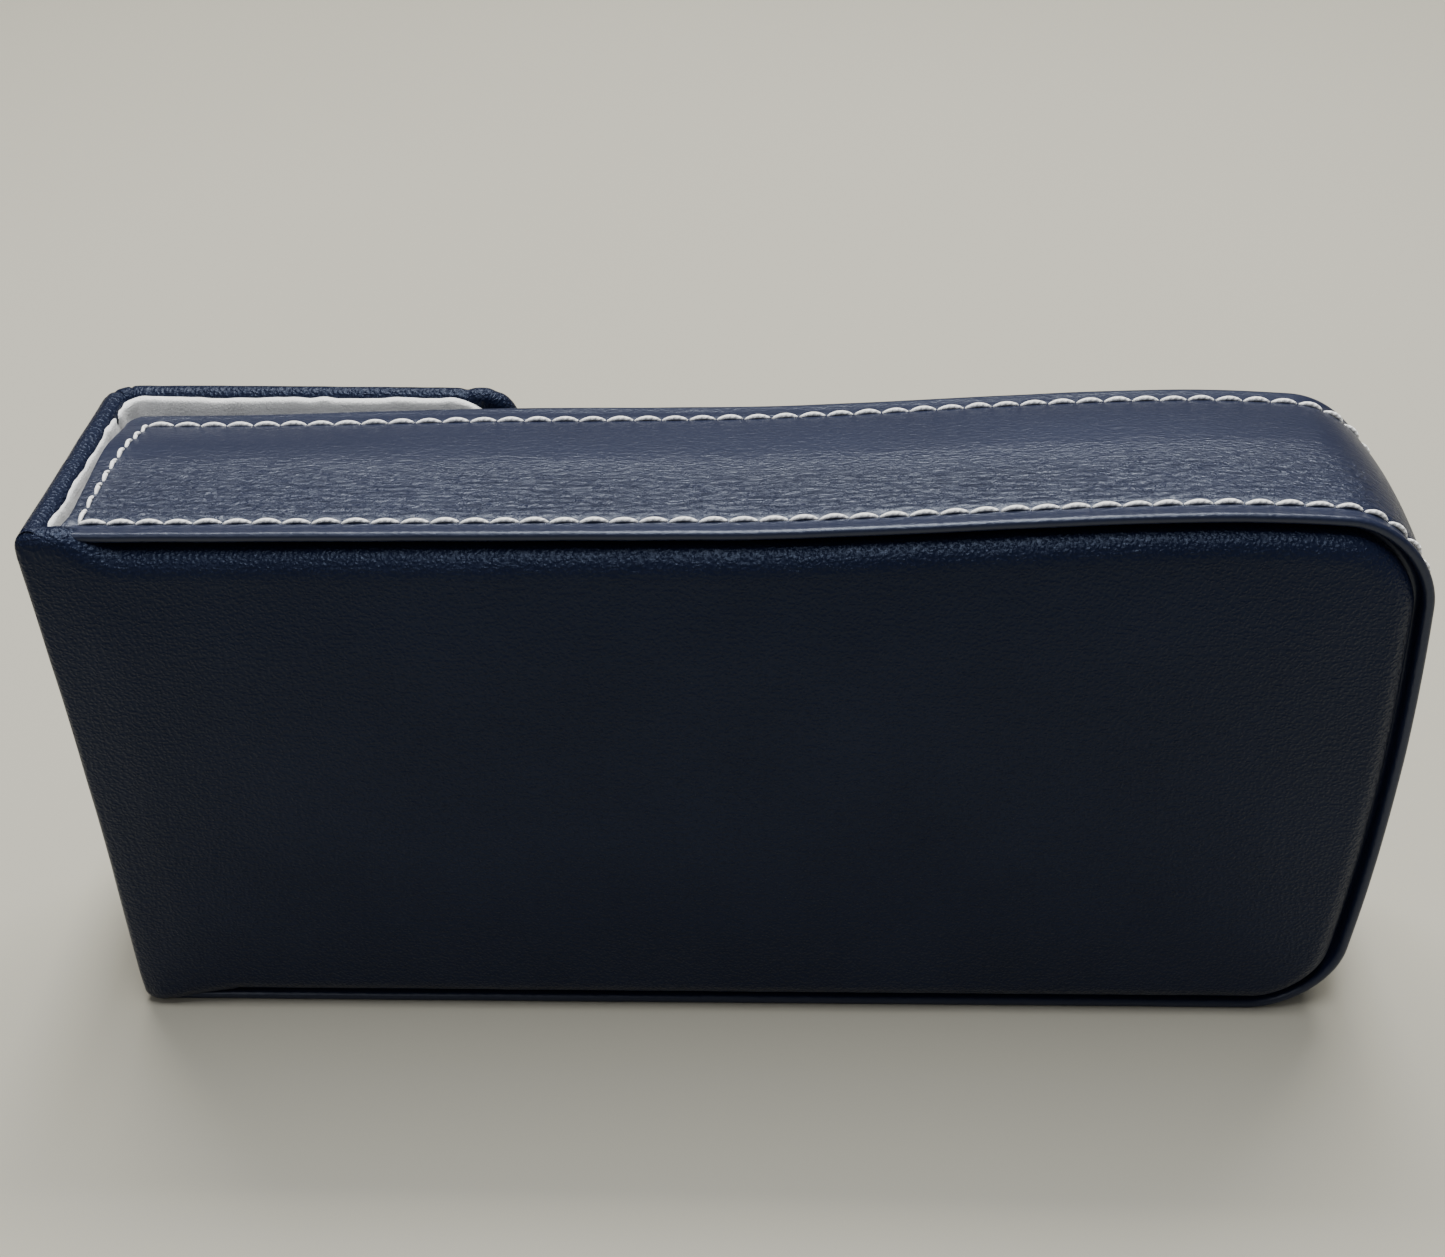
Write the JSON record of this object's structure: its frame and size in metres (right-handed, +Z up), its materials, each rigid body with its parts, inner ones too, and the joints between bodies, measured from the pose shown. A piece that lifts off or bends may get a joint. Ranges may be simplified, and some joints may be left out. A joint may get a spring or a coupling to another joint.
{
  "type": "eyeglasses case",
  "caption": "Box-type eyeglasses case with a stitched band, padded panels, plush lining and a fold-over end cover with a magnetic flap.",
  "frame": {"origin": "middle of the case's footprint, on the surface it stands on", "axes": "+X along the length towards the rounded end, -Y out of the front panel, +Y out of the back with the flap, +Z up from the long narrow side that it stands on"},
  "size_m": [0.1634, 0.0378, 0.0779],
  "materials": {
    "band_leatherette": "fine-grained navy leatherette, satin",
    "panel_leatherette": "pebble-grained dark navy leatherette, satin",
    "thread": "white twisted thread",
    "plush": "short white plush",
    "board": "greyboard, matt",
    "foam": "open-cell foam, matt",
    "keeper_steel": "plain rolled steel",
    "magnet": "nickel plating"
  },
  "bodies": {
    "case_body": {"band_board": "board", "band_leather": "band_leatherette", "band_lining": "plush", "stitching_front": "thread", "stitching_back": "thread", "stitching_mouth": "thread", "front_board": "board", "front_foam": "foam", "front_leather": "panel_leatherette", "front_lining": "plush", "back_board": "board", "back_foam": "foam", "back_leather": "panel_leatherette", "back_lining": "plush", "keeper_plate": "keeper_steel"},
    "end_cover": {"cover_board": "board", "cover_leather": "panel_leatherette", "cover_lining": "plush"},
    "flap": {"flap_board": "board", "flap_leather": "panel_leatherette", "flap_lining": "plush", "flap_magnets": "magnet"}
  },
  "joints": [
    {"name": "end_cover_fold", "type": "hinge", "parent": "case_body", "child": "end_cover", "pos_m": [-0.0812, -0.0184, 0.0373], "axis": [0, 0, 1], "range_deg": [0, 120]},
    {"name": "flap_fold", "type": "hinge", "parent": "end_cover", "child": "flap", "pos_m": [-0.0812, 0.0184, 0.0373], "axis": [0, 0, 1], "range_deg": [0, 90]}
  ]
}
